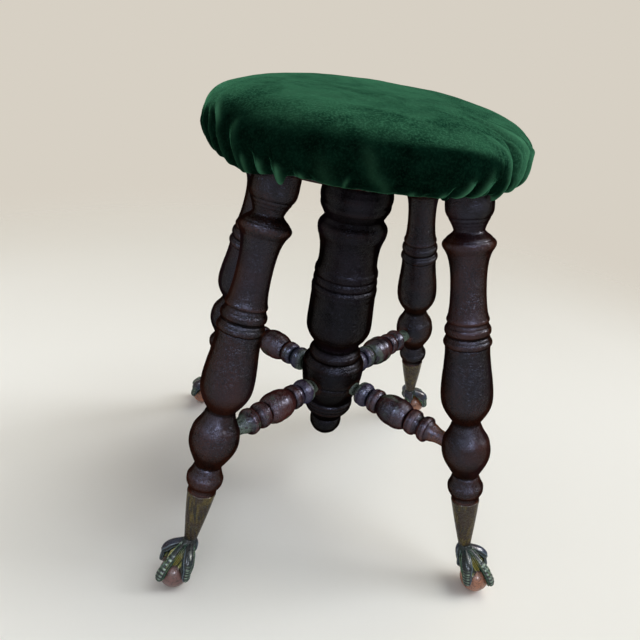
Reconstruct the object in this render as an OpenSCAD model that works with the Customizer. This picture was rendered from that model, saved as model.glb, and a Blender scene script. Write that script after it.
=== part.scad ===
// Revolving piano stool: four splayed turned legs on ball feet held in claws, a turned middle column
// with four turned stretchers, and a round seat on an iron screw. Millimetres, +Z up, floor at z = 0.
// The legs stand on the diagonals, the front of the stool is towards -Y.

/* [Stance] */
// Height of the leg block's underside above the floor
block_z = 468; // [440:1:500]
// How far each leg's axis stands in from the leg block's edge, at the block's underside
leg_inset = 18.7; // [17:0.1:28]
// Outward lean of the legs, in degrees
leg_splay = 13.25; // [9:0.25:17]
// Height of the stretchers' axes above the floor
stretcher_z = 177.5; // [170:0.5:186]

/* [Legs] */
// Largest diameter of a leg's turning
leg_d = 57; // [52:0.1:64]
// Height of the joint between a leg and its brass ferrule
ferrule_z = 116; // [104:1:122]
// Diameter of the round tenon on top of a leg
leg_tenon_d = 24; // [18:0.5:28]
// Length of that tenon above the shoulder
leg_tenon_l = 13; // [9:0.5:13.5]
// Diameter of the tapered foot tenon at the ferrule's mouth
foot_tenon_d = 28; // [24:0.5:29]
// Length of the foot tenon
foot_tenon_l = 42; // [30:1:46]

/* [Feet] */
// Outer diameter of the ferrule at its mouth
ferrule_d = 32; // [31:0.5:36]
// Diameter of the ankle above the talons
ankle_d = 14; // [13:0.1:18]
// Height of the ankle above the floor
ankle_z = 54; // [50:0.5:58]
// Diameter of the glass ball
ball_d = 34; // [31:0.5:38]
// Depth of the flat that wear has ground under the ball
ball_flat = 0.3; // [0.2:0.05:0.8]
// How far the ball stands outside the leg's axis
ball_reach = 14; // [8:0.5:18]
// Thickness of the webs between the talons
web_t = 2.2; // [1.6:0.1:3.5]
// Thickness that the outer talon adds at its knuckle
talon_t = 13; // [8:0.5:15]
// Thickness that the side and back talons add
side_talon_t = 12; // [7:0.5:14]

/* [Column] */
// Largest diameter of the column
column_d = 81.5; // [78:0.5:92]
// Height of the column's lower end above the floor
column_z = 133; // [122:1:140]
// Diameter of the column's tenon in the leg block
column_tenon_d = 56; // [52:0.5:60]
// Diameter of the bore that the stop washer travels in
washer_bore_d = 34; // [33:0.5:37]
// Largest diameter of the drop finial
finial_d = 58; // [52:0.5:64]
// Height of the drop finial
finial_h = 43.5; // [40:0.5:56]
// Diameter of the finial's spigot
spigot_d = 22; // [16:0.5:28]
// Length of the finial's spigot
spigot_l = 20; // [12:1:26]

/* [Stretchers] */
// Largest diameter of a stretcher
stretcher_d = 37.5; // [34:0.5:42]
// Diameter of the round pins at both ends of a stretcher
pin_d = 17; // [14:0.5:19]
// How deep each pin goes into the column and the leg
pin_depth = 15; // [10:0.5:17]

/* [Leg block] */
// How far the leg block's edge stands in from the folds of the hem
block_inset = 9; // [8:0.5:12]
// Thickness of the leg block
block_t = 17.5; // [16.5:0.5:26]
// Rounding of the leg block's edges
block_round = 3; // [1:0.5:5]

/* [Screw] */
// Outer diameter of the seat spindle's thread
thread_d = 25.4; // [24:0.1:26]
// Depth of the thread
thread_depth = 2; // [1.5:0.1:2.5]
// Rise of the seat in one turn
lead = 8; // [6:0.5:10]
// Number of turns between the lowest and the highest seat
turns = 14; // [8:1:15]
// Diameter of the plain top of the spindle in the flange hub
shank_d = 19; // [16:0.5:20]
// Diameter of the stud below the thread
stud_d = 12; // [8:0.5:14]
// Diameter of the stop washer
washer_d = 32; // [30:0.5:32.5]
// Thickness of the stop washer
washer_t = 3; // [2:0.5:4]
// Width of the stop nut across its flats
stop_nut_w = 19; // [17:0.5:22]
// Thickness of the stop nut
stop_nut_t = 8; // [6:0.5:10]

/* [Nut plate] */
// Diameter of the nut plate
plate_d = 92; // [86:1:100]
// Thickness of the nut plate
plate_t = 4; // [3:0.5:5]
// Outer diameter of the nut's boss
boss_d = 38; // [36:0.5:42]
// Length of the boss under the plate's top
boss_l = 26; // [20:1:32]

/* [Seat] */
// Diameter of the seat board
board_d = 326; // [314:1:338]
// How far the cover's folds stand out past the board
board_cover = 11; // [10:0.5:16]
// Thickness of the seat board
board_t = 15; // [12:0.5:16]
// Height of the crown above the board
crown_h = 32.5; // [28:0.5:42]
// Height of the widest line above the board's underside
widest_h = 0.5; // [0.5:0.5:4]
// How far the hem is drawn in from the widest line
hem_draw = 14; // [10:0.5:15]
// Drop of the hem below the widest line
hem_drop = 18.5; // [15:0.5:20]
// Thickness of the velvet
cloth_t = 1.8; // [1.2:0.1:2]
// Depth of the gathers round the hem
fold_depth = 3.6; // [1:0.1:3.6]
// Number of gathers round the hem
fold_count = 18; // [12:1:18]
// Rise and fall of the hem line
hem_wave = 1.6; // [0:0.1:1.8]
// Width of the elastic band in the hem
elastic_w = 5; // [3:0.5:8]
// Thickness of the elastic band
elastic_t = 0.8; // [0.5:0.1:1]

/* [Flange] */
// Thickness of the seat flange's arms
flange_t = 4; // [3:0.5:6]
// Diameter of the flange's hub
hub_d = 44; // [36:1:50]
// Height of the hub over the arms' undersides
hub_h = 12; // [9:0.5:15]
// Reach of an arm from the middle
arm_reach = 110; // [80:1:130]
// Width of an arm
arm_w = 24; // [18:1:30]

/* [Screws] */
// Diameter of a wood screw's shank
screw_d = 4.5; // [3.5:0.1:5]
// Diameter of a wood screw's countersunk head
screw_head_d = 9; // [8:0.1:10]
// Length of a wood screw, over its head
screw_l = 13; // [9:0.5:14]

/* [Fits] */
// Gap round glued and pressed wood joints
joint_gap = 0.1; // [0.05:0.05:0.2]
// Gap between the soft pieces and what they cover
soft_gap = 0.3; // [0.2:0.05:0.5]
// Gap between pieces that turn or rest on each other
turn_gap = 0.3; // [0.2:0.05:0.5]
// Gap between a talon cup and its ball
ball_gap = 0.6; // [0.55:0.05:0.8]

/* [Hidden] */
SIDES = ["back_right", "back_left", "front_left", "front_right"];
$fn = 72;

// Overrun of every cut past the face that it opens
over = 1;
// Steps in one round stretch of a turning
turn_steps = 4;

// Diameters that follow from the seat board's
seat_d = board_d + 2 * board_cover;
hem_d = seat_d - 2 * hem_draw;
block_d = hem_d - 2 * block_inset;
leg_top_r = block_d / 2 - leg_inset;

// Heights of the seat's parts when it is fully lowered
block_top = block_z + block_t;
flange_z = block_top + turn_gap;
board_z = flange_z + flange_t;
board_top = board_z + board_t;
widest_z = board_z + widest_h;
hem_z = widest_z - hem_drop;
crown_z = board_top + crown_h;

// Heights along the screw when the seat is fully lowered
boss_z = block_top - boss_l;
thread_z = boss_z - lead * turns - turn_gap;
// Play of the stop washer between the thread and the stop nut
washer_slack = 0.2;
stop_nut_z = thread_z - washer_t - washer_slack - stop_nut_t;
// How far the stud stands out of the nut, and what is bored free below it
stud_end = 1.5;
bore_end_gap = 2;
bore_z = stop_nut_z - stud_end - bore_end_gap;

// The leg's axis: its radius at a height, and distances along it from the ferrule's mouth
function axis_r(z) = leg_top_r + (block_z - z) * tan(leg_splay);
function along(z) = (z - ferrule_z) / cos(leg_splay);
leg_l = along(block_z);
ferrule_l = (ferrule_z - ankle_z) / cos(leg_splay);
ferrule_taper = (ferrule_d - ankle_d) / ferrule_l;
ball_z = ball_d / 2 - ball_flat;
ball_r = axis_r(ball_z) + ball_reach;

// A turning's table: how far along its length, how wide as a share of its largest diameter, and how much the
// stretch that leads there bows out, as a share of its own length
leg_shares = [
    [0, .55, 0], [.009, .556, 0], [.022, .588, -.03], [.048, .711, .1], [.059, .696, .07],
    [.086, .555, -.03], [.094, .51, .03], [.1, .53, 0], [.132, .756, .01], [.166, .929, .03],
    [.206, .932, .05], [.238, .79, .07], [.273, .585, -.03], [.281, .55, 0], [.288, .566, 0],
    [.317, .8, .01], [.347, .958, .03], [.385, .993, .03], [.419, .963, .01], [.461, .898, .01],
    [.506, .843, 0], [.526, .832, 0], [.537, .815, .06], [.547, .9, .12], [.559, .845, .12],
    [.569, .79, .06], [.574, .79, 0], [.587, .858, .14], [.6, .785, .12], [.609, .75, .03],
    [.613, .752, 0], [.622, .782, .15], [.638, .719, -.03], [.68, .663, -.015], [.721, .649, -.01],
    [.759, .661, -.01], [.792, .712, -.015], [.817, .808, -.02], [.832, .92, 0], [.845, .95, .1],
    [.855, .848, .08], [.866, .706, .05], [.873, .603, 0], [.879, .549, -.03], [.889, .585, -.03],
    [.897, .627, -.02], [.898, .637, 0], [.906, .682, -.03], [.907, .692, 0], [.916, .735, .04],
    [.927, .815, .05], [.941, .849, .05], [.966, .846, .02], [1, .815, .02]];
column_shares = [
    [0, .715, 0], [.012, .757, .15], [.028, .77, .1], [.043, .745, .15], [.048, .727, 0],
    [.053, .745, 0], [.09, .86, .02], [.128, .93, .02], [.132, .918, 0], [.136, .918, 0],
    [.14, .94, 0], [.175, .965, .02], [.2, .955, .03], [.222, .89, .12], [.234, .81, .06],
    [.236, .785, 0], [.24, .8, 0], [.25, .81, .05], [.262, .775, .12], [.272, .71, .08],
    [.278, .67, 0], [.286, .67, 0], [.296, .705, -.05], [.306, .76, 0], [.318, .835, .02],
    [.335, .92, .05], [.36, .99, .05], [.395, .997, .02], [.452, .975, 0], [.497, .962, 0],
    [.5, .966, .03], [.52, .973, .03], [.531, .968, .1], [.539, .925, .05], [.542, .925, 0],
    [.556, .952, .12], [.569, .91, .06], [.572, .91, 0], [.588, .937, .12], [.603, .9, .08],
    [.616, .873, -.01], [.654, .861, -.02], [.69, .89, -.02], [.716, .948, -.015], [.743, 1, .05],
    [.768, .94, .12], [.787, .842, -.06], [.789, .843, 0], [.812, .943, 0], [.842, 1, .1],
    [.89, .98, .09], [.92, .87, .05], [.96, .8, -.03], [1, .78, -.02]];
finial_shares = [
    [0, 0, 0], [.02, .26, .1], [.1, .46, .1], [.22, .61, .08], [.36, .705, .05], [.5, .72, .02],
    [.62, .7, .02], [.655, .67, 0], [.675, .67, 0], [.695, .705, 0], [.82, .83, -.02], [.93, .955, -.02],
    [.955, .985, .1], [1, 1, .1]];
stretcher_shares = [
    [0, .43, 0], [.05, .44, 0], [.055, .6, 0], [.1, .8, .2], [.165, .72, .15], [.19, .57, -.1], [.2, .62, 0],
    [.25, .8, .2], [.3, .74, .15], [.31, .7, 0], [.32, .72, 0], [.47, 1, .09], [.6, .78, .1], [.612, .68, 0],
    [.622, .7, 0], [.65, .82, .2], [.7, .8, .1], [.735, .63, -.1], [.75, .65, 0], [.79, .83, .15],
    [.825, .8, .15], [.875, .58, -.15], [.94, .46, -.05], [1, .436, 0]];

function bowed(p, q, bow) = let (n = bow == 0 ? 1 : turn_steps)
    [for (i = [1 : n]) let (t = i / n) p + (q - p) * t + 4 * bow * t * (1 - t) * [q[1] - p[1], p[0] - q[0]]];
function turned(shares, l, d) = let (p = [for (s = shares) [s[1] * d / 2, s[0] * l]])
    [p[0], for (i = [1 : len(p) - 1]) each bowed(p[i - 1], p[i], shares[i][2])];

// Turns the outline about Z, closed onto the axis
module turning(outline) {
    first = outline[0][1];
    last = outline[len(outline) - 1][1];
    rotate_extrude() polygon([if (outline[0][0] > 0) [0, first], each outline, [0, last]]);
}

// Puts children on the azimuth of side i, with +X outwards
module on_side(i) {
    rotate(45 + 90 * i) children();
}

// Puts children on the leg's axis of side i, with the origin at the ferrule's mouth
module on_leg(i) {
    on_side(i) translate([axis_r(ferrule_z), 0, ferrule_z]) rotate([0, -leg_splay, 0]) children();
}

// Puts children on each screw place of a ring of four
module on_ring(r) {
    for (a = [0 : 90 : 270]) rotate(a) translate([r, 0, 0]) children();
}

// A countersunk wood screw, its head's face at z = 0 and its shank downwards
module screw(gap) {
    head_h = (screw_head_d - screw_d) / 2;
    translate([0, 0, -head_h]) cylinder(d1 = screw_d + 2 * gap, d2 = screw_head_d + 2 * gap, h = head_h);
    translate([0, 0, -screw_l - gap]) cylinder(d = screw_d + 2 * gap, h = screw_l + gap - head_h / 2);
}

// Radius of the rings of screws, worked out from what they hold
plate_screw_r = (column_tenon_d / 2 + plate_d / 2) / 2;
arm_screw_r = arm_reach - arm_w / 2;

// The cushion's side view: from 0 at the crown over 1 at the widest line to 2 at the hem
crown_power_share = .69;
skirt_power_share = .83;
function cushion_r(s, inset) = s <= 1
    ? (seat_d / 2 - inset) * pow(sin(90 * s), crown_power_share)
    : hem_d / 2 - inset + (seat_d - hem_d) / 2 * pow(cos(90 * (s - 1)), skirt_power_share);
function cushion_z(s, inset) = s <= 1
    ? widest_z + (crown_z - inset - widest_z) * pow(cos(90 * s), crown_power_share)
    : widest_z - hem_drop * sin(90 * (s - 1));

// The gathers: where on the side view they start and are full, and how deep they are on average and in turn
cover_sides = 4 * fold_count;
gather_span_shares = [.6, 1.5];
gather_depth_shares = [.62, .38];
function gather(a, s) = let (
    grow = (s - gather_span_shares[0]) / (gather_span_shares[1] - gather_span_shares[0]),
    even = gather_depth_shares[0] + gather_depth_shares[1] * sin(3 * a + 40))
    fold_depth * (1 - max(0, min(1, grow)) * even * (1 - cos(fold_count * a + 25 * sin(2 * a))) / 2);
function hem_line(a, s) = s <= 1 ? 0 : (s - 1) * hem_wave * sin(5 * a + 30 * sin(2 * a));

cover_outer_shares = [.17, .33, .47, .6, .72, .86, 1, 1.33, 1.66, 2];
cover_inner_shares = [2, 1.5, 1, .92, .8, .55, .25];

function ring_xyz(r, a, z) = [r * cos(a), r * sin(a), z];

// Joins a stack of rings with m points each, between a first and a last point, into closed faces, each
// square of four points split along its shorter diagonal
function stack_faces(points, m) = let (top = len(points) - 1, rings = (top - 1) / m) [
    for (j = [0 : m - 1]) [0, 1 + j, 1 + (j + 1) % m],
    for (k = [0 : rings - 2]) for (j = [0 : m - 1]) let (a = 1 + k * m + j, b = 1 + k * m + (j + 1) % m)
        each norm(points[a] - points[b + m]) < norm(points[b] - points[a + m])
            ? [[a, a + m, b + m], [a, b + m, b]]
            : [[a, a + m, b], [b, a + m, b + m]],
    for (j = [0 : m - 1]) let (k = (rings - 1) * m) [1 + k + (j + 1) % m, 1 + k + j, top]];

module seat_cover() {
    inner = cloth_t + fold_depth;
    points = [
        [0, 0, crown_z],
        for (s = cover_outer_shares) for (j = [0 : cover_sides - 1]) let (a = 360 * j / cover_sides)
            ring_xyz(cushion_r(s, fold_depth - gather(a, s)), a, cushion_z(s, 0) + hem_line(a, s)),
        for (s = cover_inner_shares) for (j = [0 : cover_sides - 1]) let (a = 360 * j / cover_sides)
            ring_xyz(cushion_r(s, inner), a, cushion_z(s, cloth_t) + hem_line(a, s)),
        [0, 0, crown_z - cloth_t]];
    color([.13, .34, .22]) polyhedron(points, stack_faces(points, cover_sides));
}

module hem_elastic() {
    r = (hem_d / 2 - cloth_t - fold_depth) * cos(180 / cover_sides) - soft_gap / 2;
    color([.85, .83, .76]) translate([0, 0, hem_z + hem_wave + soft_gap]) rotate_extrude()
        translate([r - elastic_t, 0]) square([elastic_t, elastic_w]);
}

module seat_padding() {
    inset = cloth_t + fold_depth + soft_gap;
    shrink = cos(180 / cover_sides);
    dome = [for (i = [len(cover_inner_shares) - 1 : -1 : 2]) let (s = cover_inner_shares[i])
        [cushion_r(s, inset) * shrink, cushion_z(s, cloth_t + soft_gap)]];
    top = crown_z - cloth_t - soft_gap;
    edge = dome[len(dome) - 1];
    hole = board_d / 2 + soft_gap;
    color([.84, .8, .7]) rotate_extrude() polygon([[0, top], each dome, [edge[0], board_z],
        [hole, board_z], [hole, board_top + soft_gap], [0, board_top + soft_gap]]);
}

module seat_board() {
    color([.5, .36, .22]) difference() {
        translate([0, 0, board_z]) cylinder(d = board_d, h = board_t);
        translate([0, 0, board_z - over])
            cylinder(d = hub_d + 2 * joint_gap, h = hub_h - flange_t + over + joint_gap);
        on_ring(arm_screw_r) translate([0, 0, flange_z]) rotate([180, 0, 0]) screw(joint_gap);
    }
}

module seat_flange() {
    color([.2, .19, .19]) difference() {
        translate([0, 0, flange_z]) union() {
            cylinder(d = hub_d, h = hub_h);
            linear_extrude(flange_t) on_ring(0) {
                translate([0, -arm_w / 2]) square([arm_screw_r, arm_w]);
                translate([arm_screw_r, 0]) circle(d = arm_w);
            }
        }
        translate([0, 0, flange_z - over]) cylinder(d = shank_d + 2 * joint_gap, h = hub_h + 2 * over);
        on_ring(arm_screw_r) translate([0, 0, flange_z]) rotate([180, 0, 0]) screw(joint_gap);
        on_ring(arm_screw_r) translate([0, 0, flange_z - over])
            cylinder(d = screw_head_d + 2 * joint_gap, h = over);
    }
}

module flange_screws() {
    color([.42, .4, .37]) on_ring(arm_screw_r) translate([0, 0, flange_z]) rotate([180, 0, 0]) screw(0);
}

// The thread's ridge in one lead: how far up, and 0 at the root or 1 at the crest
ridge_shares = [[0, 0], [.2, 1], [.5, 1], [.7, 0]];
thread_steps = 16;
spare_turns = 2;

// One helical polyhedron, longer by the spare turns at each end than the rod that is cut from it
module helix(length) {
    m = len(ridge_shares);
    start = thread_z - spare_turns * lead;
    steps = ceil((length / lead + 2 * spare_turns) * thread_steps);
    ring = [for (i = [0 : steps]) for (p = ridge_shares)
        ring_xyz(thread_d / 2 - thread_depth * (1 - p[1]), 360 * i / thread_steps,
            start + lead * (i / thread_steps + p[0]))];
    up = thread_steps * m;
    side = [for (i = [0 : steps - 1]) for (p = [0 : m - 1]) let (a = i * m + p, last = p == m - 1,
        b = last ? i * m + up : a + 1) if (!last || i + thread_steps < steps)
        each [[a, b, a + m], [b, b + m, a + m]]];
    foot = len(ring);
    head = foot + 1;
    foot_loop = [for (i = [0 : thread_steps]) i * m, for (p = [m - 1 : -1 : 1]) p];
    head_loop = [for (p = [0 : m - 1]) steps * m + p, for (i = [1 : thread_steps]) (steps - i) * m + m - 1];
    points = [each ring, [0, 0, start], [0, 0, start + lead * (steps / thread_steps + 1)]];
    polyhedron(points, [each side,
        for (i = [0 : len(foot_loop) - 1]) [foot_loop[i], foot_loop[(i + 1) % len(foot_loop)], foot],
        for (i = [0 : len(head_loop) - 1]) [head_loop[i], head_loop[(i + 1) % len(head_loop)], head]]);
}

module seat_spindle() {
    length = flange_z - thread_z;
    color([.36, .34, .33]) {
        intersection() {
            helix(length);
            translate([0, 0, thread_z]) cylinder(d = 2 * thread_d, h = length);
        }
        translate([0, 0, flange_z - over]) cylinder(d = shank_d, h = hub_h + over);
        translate([0, 0, stop_nut_z - stud_end])
            cylinder(d = stud_d, h = thread_z - stop_nut_z + stud_end + over);
    }
}

module stop_nut() {
    color([.42, .4, .37]) translate([0, 0, stop_nut_z]) difference() {
        cylinder(d = stop_nut_w / cos(30), h = stop_nut_t, $fn = 6);
        translate([0, 0, -over]) cylinder(d = stud_d + 2 * joint_gap, h = stop_nut_t + 2 * over);
    }
}

module stop_washer() {
    color([.5, .48, .45]) translate([0, 0, thread_z - washer_t - washer_slack / 2]) difference() {
        cylinder(d = washer_d, h = washer_t);
        translate([0, 0, -over]) cylinder(d = stud_d + 2 * joint_gap, h = washer_t + 2 * over);
    }
}

module nut_plate() {
    color([.24, .23, .22]) difference() {
        union() {
            translate([0, 0, block_top - plate_t]) cylinder(d = plate_d, h = plate_t);
            translate([0, 0, boss_z]) cylinder(d = boss_d, h = boss_l - over);
        }
        translate([0, 0, boss_z - over]) cylinder(d = thread_d + 2 * turn_gap, h = boss_l + 2 * over);
        on_ring(plate_screw_r) translate([0, 0, block_top]) screw(joint_gap);
        on_ring(plate_screw_r) translate([0, 0, block_top])
            cylinder(d = screw_head_d + 2 * joint_gap, h = over);
    }
}

module nut_screws() {
    color([.42, .4, .37]) on_ring(plate_screw_r) translate([0, 0, block_top]) screw(0);
}

// The tenon that joins a leg to the block, from inside the leg upwards
module leg_tenon(gap) {
    root = leg_tenon_d / 2;
    translate([0, 0, leg_l - root]) cylinder(d = leg_tenon_d + 2 * gap, h = leg_tenon_l + root + gap);
}

block_bow_share = .2;
module leg_block() {
    r = block_d / 2;
    flat_r = r - block_round;
    upper = block_t - block_round;
    side = [[flat_r, 0], each bowed([flat_r, 0], [r, block_round], block_bow_share),
        [r, upper], each bowed([r, upper], [flat_r, block_t], block_bow_share)];
    color([.14, .08, .06]) difference() {
        translate([0, 0, block_z]) turning(side);
        for (i = [0 : 3]) on_leg(i) leg_tenon(joint_gap);
        translate([0, 0, block_z - over])
            cylinder(d = column_tenon_d + 2 * joint_gap, h = block_t + 2 * over);
        translate([0, 0, block_top - plate_t]) cylinder(d = plate_d + 2 * joint_gap, h = plate_t + over);
        on_ring(plate_screw_r) translate([0, 0, block_top]) screw(joint_gap);
    }
}

// The round pins of a stretcher: one in the column, one in the leg, and how far before the leg's skin
// the second one and its bore start, as the leaning leg bulges there
pin_start = 5;
hub_r = column_shares[11][1] * column_d / 2;
leg_skin_r = axis_r(stretcher_z) - leg_shares[10][1] * leg_d / 2 / cos(leg_splay);
module pin(side, i, gap) {
    from = side == "column" ? hub_r - pin_depth - gap : leg_skin_r - pin_start;
    to = side == "column" ? hub_r + over : leg_skin_r + pin_depth + gap;
    on_side(i) translate([from, 0, stretcher_z]) rotate([0, 90, 0])
        cylinder(d = pin_d + 2 * gap, h = to - from);
}

module column() {
    color([.13, .08, .07]) difference() {
        union() {
            translate([0, 0, column_z]) turning(turned(column_shares, block_z - column_z, column_d));
            translate([0, 0, block_z - over])
                cylinder(d = column_tenon_d, h = block_t - plate_t - joint_gap + over);
        }
        translate([0, 0, boss_z - joint_gap]) cylinder(d = boss_d + 2 * joint_gap, h = boss_l + over);
        translate([0, 0, bore_z]) cylinder(d = washer_bore_d, h = boss_z - bore_z);
        translate([0, 0, column_z - over])
            cylinder(d = spigot_d + 2 * joint_gap, h = spigot_l + over + joint_gap);
        for (i = [0 : 3]) pin("column", i, joint_gap);
    }
}

module drop_finial() {
    color([.13, .08, .07]) {
        translate([0, 0, column_z - finial_h]) turning(turned(finial_shares, finial_h, finial_d));
        translate([0, 0, column_z - over]) cylinder(d = spigot_d, h = spigot_l + over);
    }
}

module leg(i) {
    tip_d = foot_tenon_d - ferrule_taper * foot_tenon_l;
    color([.15, .09, .07]) difference() {
        union() {
            intersection() {
                on_leg(i) turning([each turned(leg_shares, leg_l, leg_d),
                    [leg_shares[len(leg_shares) - 1][1] * leg_d / 2, leg_l + leg_d / 2 * tan(leg_splay)]]);
                translate([0, 0, ferrule_z - leg_d])
                    cylinder(r = axis_r(0) + leg_d, h = block_z - ferrule_z + leg_d);
            }
            on_leg(i) leg_tenon(0);
            on_leg(i) translate([0, 0, -foot_tenon_l])
                cylinder(d1 = tip_d, d2 = foot_tenon_d, h = foot_tenon_l);
            on_leg(i) translate([0, 0, -over]) cylinder(d = foot_tenon_d, h = 2 * over);
        }
        pin("leg", i, joint_gap);
    }
}

module stretcher(i) {
    from = hub_r - joint_gap;
    l = leg_skin_r + over - from;
    color([.2, .12, .12]) {
        on_side(i) translate([from, 0, stretcher_z]) rotate([0, 90, 0])
            turning(turned(stretcher_shares, l, stretcher_d));
        pin("column", i, 0);
        pin("leg", i, 0);
    }
}

// The claw casting, in the plane of its leg: x outwards, z up. A ring of points is at a share of the
// ferrule's length, of the way from the ankle to the talons' tips, or of the way back up the cup
claw_sides = 32;
ferrule_shares = [0, .1, .28, .6, .8, 1];
claw_shares = [.08, .18, .3, .42, .54, .66, .78, .9, 1];
cup_shares = [1, .84, .67, .5, .33, .16];
ferrule_power_share = 1.15;

// How far round the ball the webs and the talons' tips reach, in degrees from the top
web_end = 32;
talon_end = 104;

// Where along a talon its knuckle is, and how thick its root and its tip are beside the knuckle
knuckle_place_share = .3;
root_share = .5;
tip_share = .12;
talon_power_share = 1.8;
tip_power_share = .8;

// Where the claw leaves the ankle, where it has closed on the ball, and how much the ankle widens till there
claw_start_share = .12;
claw_grip_share = .36;
grip_power_share = 1.4;
ankle_flare_share = .5;

function on_axis(d, a, drop) = let (c = cos(leg_splay), s = sin(leg_splay), x = d / 2 * cos(a)) [
    axis_r(ferrule_z) + x * c + drop * s, d / 2 * sin(a), ferrule_z + x * s - drop * c];
function talon(a) = pow((1 + cos(4 * a)) / 2, talon_power_share);
function claw_end(a) = web_end + (talon_end - web_end) * talon(a);
function knuckle(s) = s < knuckle_place_share
    ? root_share + (1 - root_share) * sin(90 * s / knuckle_place_share)
    : tip_share + (1 - tip_share)
        * pow(cos(90 * (s - knuckle_place_share) / (1 - knuckle_place_share)), tip_power_share);
function talon_grow(a) = side_talon_t + (talon_t - side_talon_t) * max(0, cos(a));
function ball_skin(r, tilt, a) =
    [ball_r + r * sin(tilt) * cos(a), r * sin(tilt) * sin(a), ball_z + r * cos(tilt)];
function claw_skin(s, a) = let (
    grip = pow(sin(90 * min(1, s / claw_grip_share)), grip_power_share),
    thick = web_t + talon_grow(a) * talon(a) * knuckle(s),
    tilt = claw_end(a) * (claw_start_share + (1 - claw_start_share) * s),
    outer = ball_skin(ball_d / 2 + ball_gap + thick, tilt, a),
    neck = on_axis(ankle_d * (1 + s * (ankle_flare_share + talon(a))), a, ferrule_l + ankle_d * s))
    neck * (1 - grip) + outer * grip;

module claw(i) {
    socket_l = foot_tenon_l + joint_gap;
    mouth_d = foot_tenon_d + 2 * soft_gap;
    angles = [for (j = [0 : claw_sides - 1]) 360 * j / claw_sides];
    points = [
        on_axis(0, 0, socket_l),
        for (a = angles) on_axis(mouth_d - ferrule_taper * foot_tenon_l, a, socket_l),
        for (a = angles) on_axis(mouth_d, a, 0),
        for (s = ferrule_shares) for (a = angles)
            on_axis(ferrule_d + (ankle_d - ferrule_d) * pow(s, ferrule_power_share), a, ferrule_l * s),
        for (s = claw_shares) for (a = angles) claw_skin(s, a),
        for (s = cup_shares) for (a = angles) ball_skin(ball_d / 2 + ball_gap, claw_end(a) * s, a),
        ball_skin(ball_d / 2 + ball_gap, 0, 0)];
    color([.2, .22, .12]) on_side(i) polyhedron(points, stack_faces(points, claw_sides));
}

module ball(i) {
    color([.72, .5, .4]) difference() {
        on_side(i) translate([ball_r, 0, ball_z]) sphere(d = ball_d);
        translate([0, 0, -ball_d]) cylinder(r = ball_r + ball_d, h = ball_d);
    }
}

seat_cover();
hem_elastic();
seat_padding();
seat_board();
seat_flange();
flange_screws();
seat_spindle();
stop_nut();
stop_washer();
nut_plate();
nut_screws();
leg_block();
column();
drop_finial();
for (i = [0 : 3]) {
    leg(i);
    stretcher(i);
    claw(i);
    ball(i);
}
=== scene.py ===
"""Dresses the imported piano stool: crackled wood, aged brass claws, glass balls and a gathered velvet cover."""

import math

import bpy
import numpy as np
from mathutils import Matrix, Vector, noise


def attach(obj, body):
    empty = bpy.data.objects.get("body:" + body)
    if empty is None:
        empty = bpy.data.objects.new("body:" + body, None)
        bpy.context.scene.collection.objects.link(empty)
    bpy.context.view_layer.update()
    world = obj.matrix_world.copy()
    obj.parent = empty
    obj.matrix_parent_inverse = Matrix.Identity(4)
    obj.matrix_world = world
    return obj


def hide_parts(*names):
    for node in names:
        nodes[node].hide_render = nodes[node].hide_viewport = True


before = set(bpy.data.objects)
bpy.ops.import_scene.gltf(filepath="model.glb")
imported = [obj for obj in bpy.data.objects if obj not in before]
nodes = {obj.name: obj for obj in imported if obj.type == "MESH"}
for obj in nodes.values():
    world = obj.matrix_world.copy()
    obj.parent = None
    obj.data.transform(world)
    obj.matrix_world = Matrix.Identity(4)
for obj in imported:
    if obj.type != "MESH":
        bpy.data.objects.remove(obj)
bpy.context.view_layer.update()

MM = 0.001
SIDES = ("back_right", "back_left", "front_left", "front_right")
SPLAY = math.radians(13.25)  # how far the legs lean outwards
# Where a leg starts along its own line and how long it is, in metres, and its collar's edge and neck as shares of that
LEG_START, LEG_LENGTH = 0.06359, 0.3616
COLLAR = (0.842, 0.876)
COLLAR_FULLNESS = 0.0048

# ---------------------------------------------------------------- camera
cam_data = bpy.data.cameras.new("camera")
cam_data.sensor_width = 36
cam_data.lens = 34.676
camera = bpy.data.objects.new("camera", cam_data)
camera.location = (-0.11388, -0.67446, 0.61669)
camera.rotation_euler = [math.radians(x) for x in (62.0914, -6.3962, -4.1989)]
bpy.context.scene.collection.objects.link(camera)
bpy.context.scene.camera = camera


# ---------------------------------------------------------------- small helpers
def smooth(x, lo, hi):
    t = np.clip((x - lo) / (hi - lo), 0, 1)
    return t * t * (3 - 2 * t)


def turn_gap(a, b):
    """Signed difference between two angles in degrees, -180 to 180."""
    return (a - b + 180) % 360 - 180


def hash_noise(points, scale, seed=0.0):
    """Smooth noise from -1 to 1 at each point of an (n, 3) array."""
    return np.array(
        [noise.noise(Vector((p[0] * scale + seed, p[1] * scale - seed, p[2] * scale + 2 * seed))) for p in points]
    )


def ring_noise(angles, waves, seed):
    """Smooth periodic noise round the seat, about -1 to 1, with that many waves."""
    a = np.radians(angles)
    r = waves / math.tau
    return np.array([noise.noise(Vector((r * math.cos(x), r * math.sin(x), seed))) for x in a]) * 1.8


def mesh_piece(name, verts, faces, smooth_shade=True):
    mesh = bpy.data.meshes.new(name)
    mesh.from_pydata([tuple(v) for v in verts], [], faces)
    mesh.update()
    if smooth_shade:
        mesh.polygons.foreach_set("use_smooth", [True] * len(mesh.polygons))
    o = bpy.data.objects.new(name, mesh)
    bpy.context.scene.collection.objects.link(o)
    return o


def ring_faces(rings, count, first=0):
    """Quads between rings of count points each, wound so that they face outwards when the rings go downwards."""
    out = []
    for k in range(rings - 1):
        for j in range(count):
            a, b = first + k * count + j, first + k * count + (j + 1) % count
            out.append((a, a + count, b + count, b))
    return out


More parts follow.
